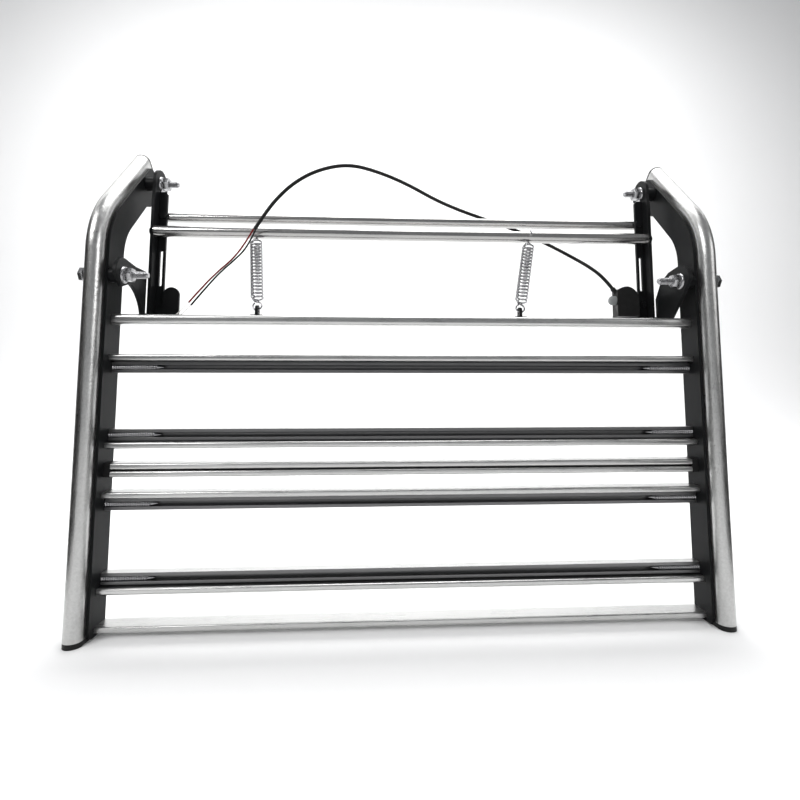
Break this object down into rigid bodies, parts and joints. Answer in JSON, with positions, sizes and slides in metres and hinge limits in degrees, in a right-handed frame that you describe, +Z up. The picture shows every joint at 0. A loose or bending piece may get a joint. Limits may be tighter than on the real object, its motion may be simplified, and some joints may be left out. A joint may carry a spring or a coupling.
{
  "type": "headache rack",
  "caption": "Guard rack with two bent rails, slats between side plates, and a sprung swing frame that carries a push switch with a lead.",
  "frame": {"origin": "under the middle of the rack's width and depth, at the undersides of the two foot caps", "axes": "+X to the right and +Y away as seen from the flat front, +Z up"},
  "size_m": [0.52, 0.0883, 0.401],
  "materials": {
    "rail_metal": "satin, anodised",
    "slat_metal": "satin, extruded",
    "bar_metal": "drawn",
    "zinc": "bright zinc plate",
    "black_paint": "satin powder coat",
    "cap_plastic": "fine grain",
    "button_grey": "smooth",
    "lead_black": "satin",
    "lead_red": "satin",
    "strand_metal": "tinned"
  },
  "bodies": {
    "rack_frame": {"rail_left": "rail_metal", "foot_cap_left": "cap_plastic", "top_cap_left": "cap_plastic", "side_plate_left": "black_paint", "end_block_left": "cap_plastic", "slat_screws_left": "zinc", "bar_screws_left": "zinc", "lower_bolt_left": "zinc", "lower_washer_left": "zinc", "lower_nut_left": "zinc", "pivot_bolt_left": "zinc", "pivot_washer_left": "zinc", "pivot_nut_left": "zinc", "lower_spacer_left": "black_paint", "pivot_spacer_left": "black_paint", "stop_plate_left": "black_paint", "spring_lug_left": "black_paint", "spring_left": "zinc", "rail_right": "rail_metal", "foot_cap_right": "cap_plastic", "top_cap_right": "cap_plastic", "side_plate_right": "black_paint", "end_block_right": "cap_plastic", "slat_screws_right": "zinc", "bar_screws_right": "zinc", "lower_bolt_right": "zinc", "lower_washer_right": "zinc", "lower_nut_right": "zinc", "pivot_bolt_right": "zinc", "pivot_washer_right": "zinc", "pivot_nut_right": "zinc", "lower_spacer_right": "black_paint", "pivot_spacer_right": "black_paint", "stop_plate_right": "black_paint", "spring_lug_right": "black_paint", "spring_right": "zinc", "slat_upper": "slat_metal", "slat_above_centre": "slat_metal", "slat_centre": "slat_metal", "slat_below_centre": "slat_metal", "slat_lower": "slat_metal", "spring_bar": "slat_metal", "bottom_bar": "slat_metal"},
    "swing_frame": {"arm_left": "black_paint", "arm_right": "black_paint", "crossbar_lower": "bar_metal", "crossbar_upper": "bar_metal", "crossbar_plugs": "zinc", "crossbar_screws": "black_paint", "foot_tab": "black_paint", "switch_bracket": "black_paint", "switch_housing": "cap_plastic", "cable_gland": "cap_plastic", "small_screws": "black_paint", "lead_sheath": "lead_black", "lead_core_red": "lead_red", "lead_core_black": "lead_black", "lead_strands_red": "strand_metal", "lead_strands_black": "strand_metal"},
    "push_button": {"switch_button": "button_grey"}
  },
  "joints": [
    {"name": "frame_swing", "type": "hinge", "parent": "rack_frame", "child": "swing_frame", "pos_m": [0, 0.02116, 0.37061], "axis": [1, 0, 0], "range_deg": [0, 35], "stiffness_Nm_per_rad": 1, "springref_deg": -20.05, "deforming": ["spring_left", "spring_right"]},
    {"name": "button_press", "type": "slide", "parent": "swing_frame", "child": "push_button", "axis": [1, 0, 0], "range_m": [0, 0.0025], "stiffness_N_per_m": 400, "springref_m": -0.002}
  ]
}
